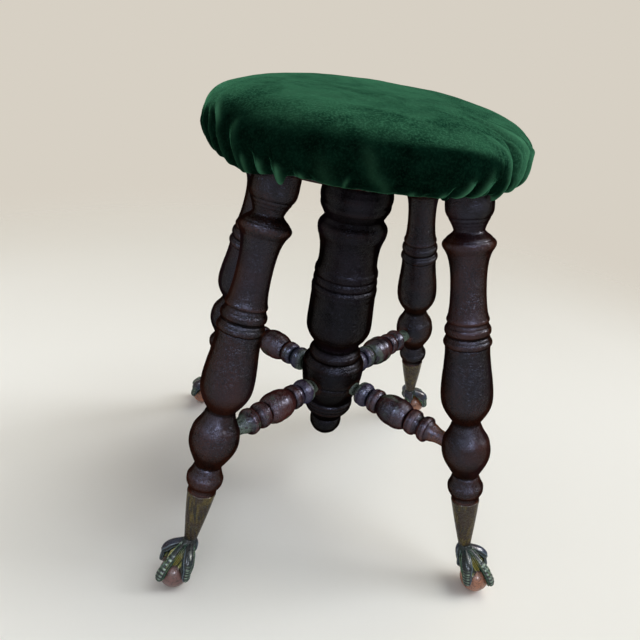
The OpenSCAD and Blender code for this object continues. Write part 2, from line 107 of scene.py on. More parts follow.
def closed_piece(name, rings, top, bottom):
    """A closed piece in mm from rings of points, with a point over the first ring and one under the last."""
    count = rings.shape[1]
    verts = np.vstack([rings.reshape(-1, 3), top, bottom]) * MM
    last = (len(rings) - 1) * count
    over, under = last + count, last + count + 1
    faces = ring_faces(len(rings), count)
    faces += [(over, j, (j + 1) % count) for j in range(count)]
    faces += [(under, last + (j + 1) % count, last + j) for j in range(count)]
    return mesh_piece(name, verts, faces)


def point_value(o, name, values):
    attribute = o.data.attributes.new(name, "FLOAT", "POINT")
    attribute.data.foreach_set("value", np.asarray(values, np.float32))


# ---------------------------------------------------------------- materials
class Tree:
    """A material's nodes, with short calls for the ones used here."""

    def __init__(self, name):
        self.material = bpy.data.materials.new(name)
        self.material.use_nodes = True
        self.nodes = self.material.node_tree.nodes
        self.links = self.material.node_tree.links
        self.shader = self.nodes["Principled BSDF"]
        self.place = self.nodes.new("ShaderNodeTexCoord").outputs["Object"]

    def put(self, socket, value):
        if isinstance(value, bpy.types.NodeSocket):
            self.links.new(value, socket)
        elif value is not None:
            if hasattr(socket.default_value, "__len__") and len(socket.default_value) == 4 and len(value) == 3:
                value = (*value, 1)
            socket.default_value = value

    def set(self, **values):
        for key, value in values.items():
            self.put(self.shader.inputs[key.replace("_", " ").replace("  ", " ")], value)

    def scaled(self, scale, place=None):
        n = self.nodes.new("ShaderNodeMapping")
        self.put(n.inputs["Vector"], place or self.place)
        n.inputs["Scale"].default_value = scale if hasattr(scale, "__len__") else (scale,) * 3
        return n.outputs["Vector"]

    def noise(self, scale, detail=3, rough=0.5, place=None, distort=0.0):
        n = self.nodes.new("ShaderNodeTexNoise")
        self.put(n.inputs["Vector"], place or self.place)
        n.inputs["Scale"].default_value = scale
        n.inputs["Detail"].default_value = detail
        n.inputs["Roughness"].default_value = rough
        n.inputs["Distortion"].default_value = distort
        return n.outputs["Fac"]

    def noise_vector(self, scale):
        n = self.nodes.new("ShaderNodeTexNoise")
        self.put(n.inputs["Vector"], self.place)
        n.inputs["Scale"].default_value = scale
        return n.outputs["Color"]

    def cells(self, scale, place):
        """Distance from the edges between random cells."""
        n = self.nodes.new("ShaderNodeTexVoronoi")
        n.feature = "DISTANCE_TO_EDGE"
        self.put(n.inputs["Vector"], place)
        n.inputs["Scale"].default_value = scale
        return n.outputs["Distance"]

    def math(self, kind, a, b=None):
        n = self.nodes.new("ShaderNodeMath")
        n.operation = kind
        for socket, value in zip(n.inputs, (a, b)):
            self.put(socket, value)
        return n.outputs[0]

    def times(self, a, b):
        return self.math("MULTIPLY", a, b)

    def plus(self, a, b):
        return self.math("ADD", a, b)

    def less(self, a, b):
        return self.math("SUBTRACT", a, b)

    def span(self, value, lo, hi, to_lo=0.0, to_hi=1.0):
        """The value's way from lo to hi, eased at both ends, as a number from to_lo to to_hi."""
        n = self.nodes.new("ShaderNodeMapRange")
        n.interpolation_type = "SMOOTHSTEP"
        self.put(n.inputs["Value"], value)
        for key, x in (("From Min", lo), ("From Max", hi), ("To Min", to_lo), ("To Max", to_hi)):
            n.inputs[key].default_value = x
        return n.outputs["Result"]

    def mix(self, share, a, b, kind="MIX"):
        n = self.nodes.new("ShaderNodeMix")
        n.data_type = "RGBA"
        n.blend_type = kind
        self.put(n.inputs[0], share)
        self.put(n.inputs[6], a)
        self.put(n.inputs[7], b)
        return n.outputs[2]

    def attribute(self, name):
        n = self.nodes.new("ShaderNodeAttribute")
        n.attribute_name = name
        return n.outputs["Fac"]

    def facing(self):
        """1 where the surface is seen square on, 0 at its outline: for gloss and sheen."""
        n = self.nodes.new("ShaderNodeLayerWeight")
        n.inputs["Blend"].default_value = 0.5
        return self.less(1.0, n.outputs["Facing"])

    def pointed(self):
        """About 0.5 on a flat surface, more on a crest and less in a groove."""
        return self.nodes.new("ShaderNodeNewGeometry").outputs["Pointiness"]

    def axis(self, which):
        n = self.nodes.new("ShaderNodeSeparateXYZ")
        self.put(n.inputs[0], self.place)
        return n.outputs[which]

    def radius(self):
        """Distance from the stool's middle line."""
        x, y = self.axis(0), self.axis(1)
        return self.math("SQRT", self.plus(self.times(x, x), self.times(y, y)))

    def bump(self, height, distance, strength=1.0, normal=None):
        n = self.nodes.new("ShaderNodeBump")
        n.inputs["Distance"].default_value = distance
        n.inputs["Strength"].default_value = strength
        self.put(n.inputs["Height"], height)
        if normal is not None:
            self.put(n.inputs["Normal"], normal)
        return n.outputs["Normal"]


def rounded_collar(t):
    """A normal that makes the slope above the edge of the leg's collar look as full as a cushion."""
    across = t.plus(t.math("ABSOLUTE", t.axis(0)), t.math("ABSOLUTE", t.axis(1)))
    along = t.less(t.times(t.axis(2), math.cos(SPLAY)), t.times(across, math.sin(SPLAY) * math.sqrt(0.5)))
    share = t.math("DIVIDE", t.less(along, LEG_START), LEG_LENGTH)
    edge, neck = COLLAR
    return t.bump(t.times(t.times(t.span(share, edge, neck), t.span(share, neck, edge)), COLLAR_FULLNESS), 1.0)


def crackled_wood(name, dark, brown, red, worn, wear=0.5, green=0.0, gloss=0.6, ends=None, collar=False):
    """Old dark varnish, crazed along the grain into small cells, glossy, rubbed red-brown on the rings, and darkened in
    its hollows with painted shade and some dust.

    green is how much verdigris there is, and ends the stain at a stretcher's outer end.
    """
    t = Tree(name)
    drift = t.mix(0.05, t.place, t.noise_vector(70), "ADD")
    along = t.scaled((1, 1, 0.42), drift)
    craze = t.span(t.cells(250, along), 0.0, 0.17)
    fine = t.span(t.cells(560, along), 0.0, 0.22)
    pits = t.noise(420, 4, 0.65, along)
    patch = t.noise(26, 4, 0.6)
    cloud = t.noise(10, 3, 0.6)
    shown = t.span(t.noise(18, 3, 0.55), 0.38, 0.6, 0.25, 1.0)
    rub = t.times(t.span(t.pointed(), 0.504, 0.56), t.span(patch, 0.35, 0.6))
    base = t.mix(t.span(patch, 0.36, 0.66), dark, brown)
    base = t.mix(t.span(cloud, 0.45, 0.66, 0, 0.7), base, red)
    base = t.mix(t.span(t.noise(15, 2), 0.5, 0.68, 0, 0.6), base, (0.012, 0.008, 0.014))
    base = t.mix(t.times(rub, wear), base, worn)
    if green:
        base = t.mix(t.span(t.noise(34, 3, 0.6, distort=0.4), 0.56, 0.66, 0, green), base, (0.10, 0.15, 0.11))
    if ends:
        reach = t.plus(t.radius(), t.times(t.noise(90, 3), 0.012))
        base = t.mix(t.span(reach, 0.062, 0.054, 0, 0.85), base, (0.17, 0.23, 0.19))
        violet = t.times(t.span(reach, 0.056, 0.064), t.span(reach, 0.082, 0.074))
        base = t.mix(t.times(violet, 0.6), base, (0.055, 0.06, 0.13))
        outer = t.times(t.span(reach, 0.158, 0.166), t.span(t.noise(240, 2), 0.36, 0.46, 0.1, 0.9))
        base = t.mix(outer, base, ends)
    split = t.times(t.less(1.0, craze), shown)
    hair = t.times(t.less(1.0, fine), t.span(pits, 0.4, 0.6, 0, 0.6))
    base = t.mix(t.times(t.math("MAXIMUM", split, hair), 0.8), base, (0.002, 0.0015, 0.0015))
    rough = t.span(t.plus(t.times(pits, 0.5), t.times(patch, 0.5)), 0.3, 0.7, 0.2, 0.34)
    low = t.plus(t.times(split, -0.6), t.times(hair, -0.3))
    waves = t.times(t.noise(150, 3, 0.5, along), 0.8)
    height = t.plus(low, t.plus(t.times(pits, 0.5), waves))
    # painted shade, partly dust: in the hollows the varnish is darkened nearly to black, and below it loses its gloss
    # there
    sunk = t.span(t.pointed(), 0.494, 0.47)
    base = t.mix(t.times(sunk, 0.8), base, (0.0015, 0.001, 0.001))
    normal = t.bump(height, 0.00032, 0.9, rounded_collar(t) if collar else None)
    t.set(Base_Color=base, Roughness=rough, Normal=normal, Specular_Tint=(0.66, 0.72, 1.0), Specular_IOR_Level=gloss)
    t.set(Specular_IOR_Level=t.times(t.span(t.facing(), 0.45, 0.98, 0.0, gloss), t.less(1.0, sunk)))
    return t.material


# Dark, brown, red and worn colours of the varnish on the legs, the column and the stretchers. The column's are the
# legs' varnish made darker, and it is given less gloss, as painted shade for the shadow under the seat
LEG_COLOURS = ((0.006, 0.0034, 0.003), (0.021, 0.0088, 0.006), (0.046, 0.0135, 0.008), (0.16, 0.05, 0.026))
SHADED_COLUMN_COLOURS = ((0.0014, 0.001, 0.0009), (0.004, 0.0023, 0.002), (0.012, 0.005, 0.0034), (0.07, 0.026, 0.015))
STAINED = ((0.012, 0.007, 0.010), (0.045, 0.017, 0.019), (0.10, 0.027, 0.022), (0.20, 0.065, 0.045), 0.6)
dark_wood = crackled_wood("old_dark_varnish", *LEG_COLOURS, gloss=0.42, collar=True)
shaded_column_wood = crackled_wood("old_dark_varnish_column_painted_shade", *SHADED_COLUMN_COLOURS, gloss=0.2)
mint_ended_wood = crackled_wood("rubbed_stained_varnish_mint", *STAINED, green=0.6, gloss=0.8, ends=(0.15, 0.21, 0.17))
rust_ended_wood = crackled_wood("rubbed_stained_varnish_rust", *STAINED, green=0.6, gloss=0.8, ends=(0.19, 0.07, 0.035))


def plain_wood(name):
    """Unvarnished board, with its grain along Y."""
    t = Tree(name)
    grain = t.noise(220, 4, 0.6, t.scaled((1, 0.06, 1)))
    broad = t.noise(14, 2, 0.5, t.scaled((1, 0.1, 1)))
    base = t.mix(t.span(grain, 0.35, 0.65), (0.22, 0.12, 0.06), (0.38, 0.24, 0.13))
    base = t.mix(t.span(broad, 0.4, 0.7, 0, 0.5), base, (0.16, 0.085, 0.04))
    t.set(Base_Color=base, Roughness=0.7, Normal=t.bump(grain, 0.0003, 0.5))
    return t.material


def cast_iron(name, base_a, base_b, rust, rough=0.55, metallic=0.6):
    """Old iron or steel in two shades, with spots of rust."""
    t = Tree(name)
    grit = t.noise(700, 3, 0.6)
    patch = t.noise(45, 4, 0.6)
    base = t.mix(t.span(patch, 0.4, 0.65), base_a, base_b)
    base = t.mix(t.span(t.noise(90, 3, 0.65), 0.56, 0.68, 0, 0.8), base, rust)
    worn = t.span(grit, 0.3, 0.7, rough - 0.12, rough + 0.12)
    t.set(Base_Color=base, Metallic=metallic, Roughness=worn, Normal=t.bump(grit, 0.0004, 0.6))
    return t.material


board_wood = plain_wood("plain_board")
iron = cast_iron("blackened_casting", (0.03, 0.028, 0.026), (0.06, 0.054, 0.05), (0.10, 0.045, 0.02))
thread_iron = cast_iron("greased_thread", (0.10, 0.09, 0.085), (0.17, 0.155, 0.145), (0.09, 0.045, 0.02), 0.38, 0.85)
steel = cast_iron("dull_steel", (0.22, 0.20, 0.18), (0.32, 0.30, 0.27), (0.14, 0.07, 0.035), 0.42, 0.9)


def ball_glass(name, light, deep, dark, rough):
    """Dull pressed glass, clouded between two tints and veined with a dark one."""
    t = Tree(name)
    veins = t.noise(260, 4, 0.65, distort=1.2)
    patch = t.noise(90, 3, 0.5)
    base = t.mix(t.span(patch, 0.4, 0.62), light, deep)
    base = t.mix(t.span(veins, 0.5, 0.62, 0, 0.85), base, dark)
    t.set(Base_Color=base, Roughness=rough, Normal=t.bump(t.plus(veins, patch), 0.0012, 0.6))
    t.set(Specular_IOR_Level=0.5, Coat_Weight=0.4, Coat_Roughness=0.2, Transmission_Weight=0.08)
    return t.material


pink_ball = ball_glass("tinted_glass_pink", (0.20, 0.085, 0.08), (0.14, 0.06, 0.055), (0.035, 0.018, 0.018), 0.32)
copper_ball = ball_glass("tinted_glass_copper", (0.42, 0.16, 0.08), (0.34, 0.14, 0.085), (0.07, 0.022, 0.012), 0.4)


# Values from 0 to 1 that every point of a claw carries for its colour
CLAW_MARKS = ("on_claw", "crest", "knob", "scale_highlight", "lip", "slate", "gold")


def claw_brass(name):
    """Tarnished brass: olive on the ferrule, green and blue-black on the claw with a painted highlight on the scales,
    from the piece's own values.
    """
    t = Tree(name)
    up, crest, knob, scale_highlight, lip, slate, gold = (t.attribute(x) for x in CLAW_MARKS)
    cloud = t.noise(70, 4, 0.6, distort=0.5)
    fine = t.noise(520, 4, 0.65)
    streak = t.noise(330, 3, 0.6, t.scaled((1, 1, 0.14)))
    olive = t.mix(t.span(streak, 0.38, 0.64), (0.012, 0.008, 0.005), (0.10, 0.072, 0.016))
    olive = t.mix(t.span(cloud, 0.40, 0.6, 0, 0.85), olive, (0.030, 0.017, 0.013))
    olive = t.mix(t.span(t.noise(120, 2), 0.62, 0.74, 0, 0.4), olive, (0.05, 0.07, 0.045))
    valley = t.mix(t.span(cloud, 0.35, 0.6), (0.002, 0.004, 0.008), (0.004, 0.014, 0.016))
    ridge = t.mix(t.span(t.noise(150, 3), 0.45, 0.62, 0, 0.5), (0.016, 0.075, 0.042), (0.10, 0.14, 0.04))
    ridge = t.mix(gold, ridge, (0.36, 0.31, 0.05))
    ridge = t.mix(slate, ridge, (0.10, 0.14, 0.18))
    valley = t.mix(t.times(gold, 0.7), valley, (0.035, 0.045, 0.012))
    claw = t.mix(t.span(crest, 0.3, 0.9), valley, ridge)
    knob_colour = t.mix(t.span(cloud, 0.4, 0.62), (0.020, 0.014, 0.024), (0.014, 0.024, 0.055))
    claw = t.mix(knob, claw, knob_colour)
    # painted highlight: pale on the ridges between the scale grooves
    claw = t.mix(t.times(scale_highlight, 0.85), claw, (0.26, 0.36, 0.28))
    claw = t.mix(t.times(lip, 0.9), claw, (0.07, 0.035, 0.022))
    base = t.mix(up, olive, claw)
    t.set(
        Base_Color=base,
        Metallic=0.12,
        Specular_IOR_Level=0.5,
        Roughness=t.span(fine, 0.3, 0.7, 0.2, 0.34),
        Normal=t.bump(t.plus(t.times(fine, 0.5), t.times(streak, 0.8)), 0.0004, 0.5),
    )
    t.set(Specular_IOR_Level=t.span(t.facing(), 0.3, 0.95, 0.06, 0.5))
    return t.material


SHEEN = 0.52


def velvet_cloth(name):
    """Crushed green velvet: dark on its sides, painted lighter on the crown where the light falls, and lightest on its
    creases with a painted highlight.
    """
    t = Tree(name)
    crush = t.noise(17, 4, 0.6, distort=0.6)
    soft = t.noise(55, 3, 0.6)
    pile = t.noise(1500, 2, 0.6)
    speck = t.noise(480, 4, 0.7)
    base = t.mix(t.span(crush, 0.35, 0.66), (0.0003, 0.0032, 0.0021), (0.0011, 0.0085, 0.005))
    base = t.mix(t.span(soft, 0.42, 0.66, 0, 0.5), base, (0.0022, 0.016, 0.0092))
    # painted light: the crown, where the light from above falls, gets these lighter colours in place of the dark sides'
    # ones, and lighter specks too
    crown = t.mix(t.span(crush, 0.38, 0.62), (0.0035, 0.026, 0.0145), (0.021, 0.086, 0.046))
    crown = t.mix(t.span(soft, 0.44, 0.66, 0, 0.4), crown, (0.026, 0.088, 0.05))
    base = t.mix(t.attribute("lit_crown"), base, crown)
    lit_speck = t.mix(t.span(t.attribute("lit_crown"), 0, 1, 0.06, 0.6), base, (0.05, 0.18, 0.1))
    base = t.mix(t.span(speck, 0.46, 0.62, 0, 0.8), base, lit_speck)
    # painted highlight on the crests of the creases
    base = t.mix(t.times(t.attribute("crest_highlight"), 0.95), base, (0.06, 0.20, 0.11))
    base = t.mix(t.times(t.attribute("hem_edge"), 0.6), base, (0.035, 0.05, 0.036))
    t.set(Base_Color=base, Roughness=0.9, Specular_IOR_Level=0.0)
    t.set(Sheen_Weight=SHEEN, Sheen_Roughness=0.22, Sheen_Tint=(0.22, 0.80, 0.43))
    t.set(Sheen_Weight=t.span(t.attribute("shade"), 0, 1, SHEEN, 0.05))
    height = t.plus(t.times(pile, 0.6), t.plus(t.times(speck, 0.6), t.times(soft, 1.2)))
    t.set(Normal=t.bump(height, 0.0006, 0.5))
    return t.material


def woven(name, light, dark, scale=900):
    """Plain cloth: bands of thread broken up by a fine noise."""
    t = Tree(name)
    n = t.nodes.new("ShaderNodeTexWave")
    t.put(n.inputs["Vector"], t.place)
    n.bands_direction = "Z"
    n.inputs["Scale"].default_value = scale / 6
    n.inputs["Distortion"].default_value = 1.5
    weave = t.times(n.outputs["Fac"], t.noise(scale, 2))
    t.set(Base_Color=t.mix(t.span(weave, 0.1, 0.5), dark, light), Roughness=0.9, Normal=t.bump(weave, 0.0004, 0.7))
    return t.material


velvet = velvet_cloth("green_velvet")
backing = woven("velvet_backing", (0.09, 0.12, 0.09), (0.03, 0.05, 0.035))
elastic = woven("elastic_band", (0.66, 0.62, 0.52), (0.40, 0.37, 0.30), 1400)
wadding = woven("hair_wadding", (0.42, 0.36, 0.26), (0.24, 0.19, 0.12), 420)
brass = claw_brass("aged_brass")


DRESS = {
    # the column and its finial take the varnish that is darkened with painted shade
    "column": shaded_column_wood,
    "drop_finial": shaded_column_wood,
    "leg_block": dark_wood,
    "seat_board": board_wood,
    "seat_flange": iron,
    "nut_plate": iron,
    "seat_spindle": thread_iron,
    "flange_screws": steel,
    "nut_screws": steel,
    "stop_nut": steel,
    "stop_washer": steel,
}
for side in SIDES:
    DRESS["leg_" + side] = dark_wood
    DRESS["stretcher_" + side] = rust_ended_wood if side == "front_right" else mint_ended_wood
    DRESS["ball_" + side] = pink_ball if side == "front_left" else copper_ball
for node, material in DRESS.items():
    nodes[node].data.materials.clear()
    nodes[node].data.materials.append(material)

# ---------------------------------------------------------------- claws
# All in millimetres, in the plane of the leg: x outwards from the ball's middle, y round the stool, z up
BALL_R, BALL_Z, BALL_D, CUP = 252.568, 16.7, 34.0, 0.6
FERRULE_Z, ANKLE_Z, FERRULE_D, ANKLE_D = 116.0, 54.0, 32.0, 14.0
LEG_TOP_R, LEG_TOP_Z = 132.3, 468  # where the leg's line meets the leg block
MOUTH_X = LEG_TOP_R + (LEG_TOP_Z - FERRULE_Z) * math.tan(SPLAY) - BALL_R
FERRULE_L = (FERRULE_Z - ANKLE_Z) / math.cos(SPLAY)
AROUND, FINGER_AROUND, FINGER_STEPS = 208, 48, 110  # points round the ferrule and a talon, and rings along a talon
BALL_MIDDLE = np.array([0, 0, BALL_Z])

# Each talon's crest from the ankle to its tip (outwards, across, up), then half its width and half its depth
CRESTS = {
    0: [(-18, 0, 54, 3, 4), (-9, 0, 50.5, 3.6, 5), (0, 0, 46.5, 4.4, 5), (8, 0, 42, 5, 4.8), (15, 0, 37, 5.4, 4.6),
        (20.4, 0, 31.5, 5.8, 4.4), (23.6, 0, 26.5, 5.8, 4.2), (24.4, 0, 22, 4.8, 3.8), (22.2, 0, 18, 2.6, 2.2)],
    90: [(-23, 3, 53, 3.6, 4), (-16, 10, 51, 4.6, 5), (-10.5, 16.5, 48, 5.6, 6), (-6, 21.5, 43.5, 6, 6.8),
         (-3.5, 24, 37.5, 5.6, 5.8), (-2.5, 23.8, 32, 5.2, 4.6), (-1, 24.2, 27, 5.4, 4.4), (0, 24.4, 22, 4.8, 3.8),
         (0, 22, 17, 2.4, 2)],
    180: [(-25, 0, 57, 4, 4), (-29.5, 0, 52, 5.4, 5), (-31, 0, 46, 6.4, 6), (-30, 0, 39.5, 6.4, 6),
          (-27.6, 0, 33.5, 5.6, 5), (-26, 0, 28.5, 5.4, 4.4), (-25.4, 0, 24.5, 5.2, 4), (-24.4, 0, 20.5, 4.6, 3.4),
          (-22, 0, 16.5, 2.4, 2)],
}
CRESTS[270] = [(x, -y, z, wide, deep) for x, y, z, wide, deep in CRESTS[90]]
# The talons whose knuckles the tarnish has turned blue-black
DARK_KNUCKLES = {
    "back_right": (0, 90, 180, 270),
    "back_left": (0, 90, 180, 270),
    "front_left": (180, 270),
    "front_right": (90, 180),
}
WEB_T = 1.7


def curve(points, t):
    """Catmull-Rom curve through the points at t from 0 to 1, an array of shape (len(t), dimensions)."""
    p = np.asarray(points, float)
    p = np.vstack([2 * p[0] - p[1], p, 2 * p[-1] - p[-2]])
    x = np.clip(t, 0, 1) * (len(p) - 3)
    i = np.minimum(x.astype(int), len(p) - 4)
    f = (x - i)[:, None]
    a, b, c, d = p[i], p[i + 1], p[i + 2], p[i + 3]
    return 0.5 * (2 * b + (c - a) * f + (2 * a - 5 * b + 4 * c - d) * f**2 + (3 * b - a - 3 * c + d) * f**3)


def on_leg(d, a, drop):
    """Points on a ring of diameter d round the leg's axis, that far below the ferrule's mouth."""
    x = d / 2 * np.cos(a)
    out = MOUTH_X + x * math.cos(SPLAY) + drop * math.sin(SPLAY)
    up = FERRULE_Z + x * math.sin(SPLAY) - drop * math.cos(SPLAY)
    return np.stack([out, d / 2 * np.sin(a), up], -1)


def off_ball(p, clear):
    """The points, with those inside the ball's skin and that clearance moved out to it."""
    away = p - BALL_MIDDLE
    d = np.linalg.norm(away, axis=-1, keepdims=True)
    return BALL_MIDDLE + away / np.maximum(d, 1e-6) * np.maximum(d, BALL_D / 2 + clear)


def on_sphere(radius, from_top, a):
    """Points on a sphere round the ball's middle, at that angle from its top."""
    across = np.sin(from_top)
    return BALL_MIDDLE + radius * np.stack([across * np.cos(a), across * np.sin(a), np.cos(from_top)], -1)


def ferrule_rings():
    """The ferrule with its socket and a small rolled rim, fluted down to the ankle."""
    a = np.linspace(0, math.tau, AROUND, endpoint=False)
    rims = ((0.5, 42), (16.4, 42), (28.7, 0), (29.4, -0.55), (31.2, -0.6), (32.3, 0.3), (32.3, 1.5), (31.5, 2.3))
    rings = [on_leg(d, a, drop) for d, drop in rims]
    on = [0.0] * len(rings)
    for s in np.linspace(0.055, 1.14, 32):
        flute = 0.16 * np.cos(26 * a) * smooth(s, 0.08, 0.3)
        d = FERRULE_D + (ANKLE_D - FERRULE_D) * min(s, 1) ** 1.15
        rings.append(on_leg(d + flute, a, FERRULE_L * s))
        on.append(float(smooth(np.array(s), 0.93, 1.0)))
    return np.array(rings), {"on_claw": np.array(on)[:, None] + 0 * a}


def web_rings():
    """The web from the ankle to its wide arches between the talons, fanned in ridges, and back up inside the cup."""
    a = np.linspace(0, math.tau, AROUND, endpoint=False)
    near_talon = (1 + np.cos(4 * a)) / 2
    end = np.radians(26 + 66 * near_talon**3.4)
    edge = on_sphere(BALL_D / 2 + CUP + WEB_T, end, a)
    fan = np.cos(30 * (a - math.pi / 4))
    rings, crest, lips, gold = [], [], [], []
    for s in np.linspace(0, 1, 56):
        share = s**1.15
        p = on_leg(ANKLE_D * (1 + 0.4 * s), a, FERRULE_L + ANKLE_D * s) * (1 - share) + edge * share
        p = off_ball(p, CUP + WEB_T)
        fade = smooth(s, 0.03, 0.2) * (1 - smooth(s, 0.93, 0.99))
        lip = float(smooth(s, 0.93, 0.97))
        lift = (2.2 + 3.6 * near_talon**0.9) * smooth(s, 0.1, 0.45) * (1 - smooth(s, 0.62, 1.0))
        away = p - BALL_MIDDLE
        away /= np.linalg.norm(away, axis=1)[:, None]
        rings.append(p + away * (0.95 * fan * fade + 0.9 * lip + lift)[:, None])
        crest.append(np.clip(0.5 + 0.5 * fan, 0, 1) * fade)
        lips.append(lip + 0 * a)
        gold.append(smooth(s, 0.25, 0.7) * (1 - near_talon**1.2) + 0 * a)
    for s in (1.0, 0.97, 0.88, 0.74, 0.56, 0.36, 0.16, 0.02):
        rings.append(on_sphere(BALL_D / 2 + CUP * (1.0 if s < 1 else 1.6), end * s, a))
        crest.append(0 * a)
        lips.append((0.5 if s > 0.95 else 0.0) + 0 * a)
        gold.append(0 * a)
    marks = {"crest": np.array(crest), "lip": np.array(lips), "gold": np.array(gold)}
    return np.array(rings), {"on_claw": np.ones((len(rings), AROUND)), **marks}


def talon_rings(direction, dark):
    """One talon along its crest: a high round knuckle, then a finger with scale grooves across it whose ridges carry a
    painted highlight, and fluted flanks.

    A dark knuckle is also a broader one.
    """
    t = np.linspace(0, 1, FINGER_STEPS)
    row = curve(CRESTS[direction], t)
    crest, wide, deep = row[:, :3], row[:, 3], row[:, 4]
    if dark:
        wide = wide * (1 + 0.35 * (1 - smooth(t, 0.4, 0.62)))
    along = np.gradient(crest, axis=0)
    along /= np.linalg.norm(along, axis=1)[:, None]
    up = crest - BALL_MIDDLE
    up -= along * np.sum(up * along, 1)[:, None]
    up /= np.linalg.norm(up, axis=1)[:, None]
    across = np.cross(up, along)
    close = np.sqrt(np.clip(1 - (np.clip(t - 0.93, 0, 1) / 0.07) ** 2, 0, 1))
    first = 0.26 if direction == 0 else 0.42
    groove = np.abs(np.sin(math.pi * (12 * t + 0.1)))
    zone = smooth(t, first, first + 0.08) * (1 - smooth(t, 0.86, 0.93))
    b = np.linspace(0, math.tau, FINGER_AROUND, endpoint=False)
    top = np.clip(np.cos(b), 0, 1)[None]
    side = (smooth(np.abs(np.sin(b)), 0.7, 0.95) * (np.cos(b) < 0.7))[None] * smooth(t, 0.05, 0.2)[:, None]
    sunk = 0.7 * (zone * (1 - groove) ** 1.4)[:, None] * top**0.6
    rib = 0.3 * np.cos(9 * b)[None] * side * close[:, None] * np.sign(np.sin(b))[None]
    middle = crest - up * deep[:, None]
    p = middle[:, None] + up[:, None] * ((deep * close)[:, None] * np.cos(b)[None] - sunk)[..., None]
    p = off_ball(p + across[:, None] * ((wide * close)[:, None] * np.sin(b)[None] + rib)[..., None], CUP)
    knob = smooth(top, 0.05, 0.4) * ((1 - smooth(t, first, first + 0.12)) * smooth(t, 0.02, 0.15))[:, None]
    # where the scales' ridges get their painted highlight
    mark = (zone * smooth(groove, 0.62, 0.97))[:, None] * smooth(top, 0.45, 0.8) * (1 - 0.7 * smooth(top, 0.9, 1.0))
    gap = np.linalg.norm(p - BALL_MIDDLE, axis=-1) - BALL_D / 2
    return p, {
        "on_claw": np.ones(p.shape[:2]),
        "crest": np.clip(0.5 + 0.5 * np.cos(9 * b), 0, 1)[None] * side + 0.4 * top**2,
        "knob": knob * (1.0 if dark else 0.15),
        "scale_highlight": mark,
        "lip": 0.85 * (1 - smooth(gap, 0.8, 2.6)),
        "slate": side * (0.0 if direction == 0 else 1.0),
    }


def claw_piece(side, index):
    """The ferrule, the web and the four talons of one foot, each a closed part of one piece."""
    parts = [ferrule_rings(), web_rings()]
    parts += [talon_rings(d, d in DARK_KNUCKLES[side]) for d in CRESTS]
    verts, faces, marks, first = [], [], {key: [] for key in CLAW_MARKS}, 0
    for rings, values in parts:
        count = rings.shape[1]
        verts.append(rings.reshape(-1, 3))
        faces += ring_faces(len(rings), count, first)
        faces.append(tuple(range(first, first + count)))
        first += len(rings) * count
        faces.append(tuple(first - 1 - j for j in range(count)))
        for key in CLAW_MARKS:
            marks[key].append(np.broadcast_to(values.get(key, 0.0), rings.shape[:2]).reshape(-1))
    points = np.concatenate(verts)
    turn = math.radians(45 + 90 * index)
    x = points[:, 0] + BALL_R
    y = points[:, 1]
    turned = (x * math.cos(turn) - y * math.sin(turn), x * math.sin(turn) + y * math.cos(turn), points[:, 2])
    o = mesh_piece("claw_shell_" + side, np.stack(turned, -1) * MM, faces)
    o.data.materials.append(brass)
    for key in CLAW_MARKS:
        point_value(o, key, np.concatenate(marks[key]))
    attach(o, "base")
    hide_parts("claw_" + side)
    return o


for i, side in enumerate(SIDES):
    claw_piece(side, i)

# ---------------------------------------------------------------- seat cover
SEAT_R, WIDEST_Z, CROWN_H, HEM_R, HEM_DROP = 173.6, 490.3, 47.0, 160.0, 18.5
CROWN_POWER, SKIRT_POWER = 0.69, 0.83
LONG_CREASE = 5.0  # half width of the long tension crease, which gets the full painted highlight although it is broad
ROUND, TOP, SKIRT = 720, 74, 46  # the grid's points round the cover, and its rows above and below the widest line
VIEW = 260.4  # azimuth from which the photograph looks
CLOTH = 1.5
LIFT_RANGE = (-4.2, 5.5)  # how far folds may sink and rise
LOW_HEM_Z, HEM_CLEAR_R = 474.5, 156.9


def seat_profile(s):
    """Radius and height of the taut cover: s from 0 at the crown over 1 at the widest line to 2 at the hem."""
    up = np.clip(s, 0, 1) * math.pi / 2
    down = np.clip(s - 1, 0, 1) * math.pi / 2
    skirt_r = HEM_R + (SEAT_R - HEM_R) * np.maximum(np.cos(down), 0) ** SKIRT_POWER
    crown_z = WIDEST_Z + CROWN_H * np.maximum(np.cos(up), 0) ** CROWN_POWER
    return (
        np.where(s <= 1, SEAT_R * np.sin(up) ** CROWN_POWER, skirt_r),
        np.where(s <= 1, crown_z, WIDEST_Z - HEM_DROP * np.sin(down)),
    )


